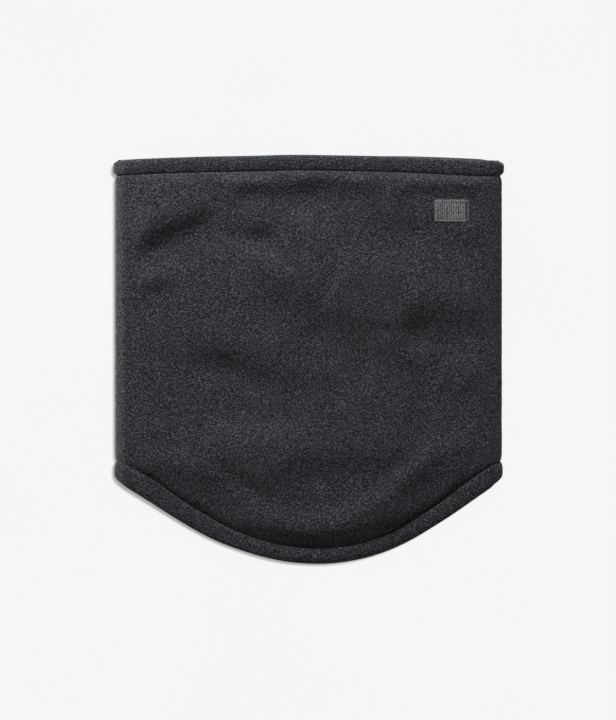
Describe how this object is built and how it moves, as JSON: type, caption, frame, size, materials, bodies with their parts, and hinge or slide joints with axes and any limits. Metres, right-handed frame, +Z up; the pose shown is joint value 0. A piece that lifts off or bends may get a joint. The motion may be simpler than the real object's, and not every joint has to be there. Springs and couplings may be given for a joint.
{
  "type": "neck gaiter",
  "caption": "Two-layer fleece neck gaiter lying flat: a tube with a deep rounded bib at the front, stitched hems at both rims and a small blank woven label.",
  "frame": {"origin": "on the surface that the gaiter lies on, midway between the upper rim and the tip of the front bib", "axes": "+X across towards the label's side, +Y towards the upper rim, +Z up through the front, away from the surface"},
  "size_m": [0.255, 0.27, 0.0172],
  "materials": {
    "fleece_shell": "charcoal fleece, short napped pile",
    "fleece_lining": "charcoal fleece, finer pile",
    "seam_thread": "near-black polyester thread",
    "woven_label": null,
    "label_thread": "dark grey polyester thread",
    "care_label": "off-white satin tape, blank"
  },
  "bodies": {
    "back_left": {"shell_back_left": "fleece_shell", "lining_back_left": "fleece_lining", "topstitch_back_top_left": "seam_thread", "rim_seam_back_top_left": "seam_thread", "topstitch_back_bottom_left": "seam_thread", "rim_seam_back_bottom_left": "seam_thread", "care_label": "care_label", "care_label_stitching": "seam_thread"},
    "back_centre": {"shell_back_centre": "fleece_shell", "lining_back_centre": "fleece_lining", "topstitch_back_top_centre": "seam_thread", "rim_seam_back_top_centre": "seam_thread", "topstitch_back_bottom_centre": "seam_thread", "rim_seam_back_bottom_centre": "seam_thread"},
    "back_right": {"shell_back_right": "fleece_shell", "lining_back_right": "fleece_lining", "topstitch_back_top_right": "seam_thread", "rim_seam_back_top_right": "seam_thread", "topstitch_back_bottom_right": "seam_thread", "rim_seam_back_bottom_right": "seam_thread"},
    "front_left": {"shell_front_left": "fleece_shell", "lining_front_left": "fleece_lining", "topstitch_front_top_left": "seam_thread", "rim_seam_front_top_left": "seam_thread", "topstitch_front_bottom_left": "seam_thread", "rim_seam_front_bottom_left": "seam_thread", "side_seam_shell_left": "seam_thread", "side_seam_lining_left": "seam_thread"},
    "front_centre": {"shell_front_centre": "fleece_shell", "lining_front_centre": "fleece_lining", "topstitch_front_top_centre": "seam_thread", "rim_seam_front_top_centre": "seam_thread", "topstitch_front_bottom_centre": "seam_thread", "rim_seam_front_bottom_centre": "seam_thread"},
    "front_right": {"shell_front_right": "fleece_shell", "lining_front_right": "fleece_lining", "topstitch_front_top_right": "seam_thread", "rim_seam_front_top_right": "seam_thread", "topstitch_front_bottom_right": "seam_thread", "rim_seam_front_bottom_right": "seam_thread", "side_seam_shell_right": "seam_thread", "side_seam_lining_right": "seam_thread", "woven_label": "woven_label", "woven_label_stitching": "label_thread"}
  },
  "joints": [
    {"name": "left_back_fold", "type": "hinge", "parent": "back_centre", "child": "back_left", "pos_m": [-0.0425, 0, 0.0052], "axis": [0, 1, 0], "range_deg": [0, 60]},
    {"name": "left_side_seam", "type": "hinge", "parent": "back_left", "child": "front_left", "pos_m": [-0.1275, 0, 0.0082], "axis": [0, -1, 0], "range_deg": [0, 120]},
    {"name": "left_front_fold", "type": "hinge", "parent": "front_left", "child": "front_centre", "pos_m": [-0.0425, 0, 0.0112], "axis": [0, 1, 0], "range_deg": [0, 60]},
    {"name": "right_front_fold", "type": "hinge", "parent": "front_centre", "child": "front_right", "pos_m": [0.0425, 0, 0.0112], "axis": [0, 1, 0], "range_deg": [0, 60]},
    {"name": "right_back_fold", "type": "hinge", "parent": "back_centre", "child": "back_right", "pos_m": [0.0425, 0, 0.0052], "axis": [0, -1, 0], "range_deg": [0, 60]}
  ],
  "couplings": [
    {"joint": "left_side_seam", "follows": "left_back_fold", "ratio": 2},
    {"joint": "left_front_fold", "follows": "left_back_fold", "ratio": 1},
    {"joint": "right_front_fold", "follows": "left_back_fold", "ratio": 1},
    {"joint": "right_back_fold", "follows": "left_back_fold", "ratio": 1}
  ]
}
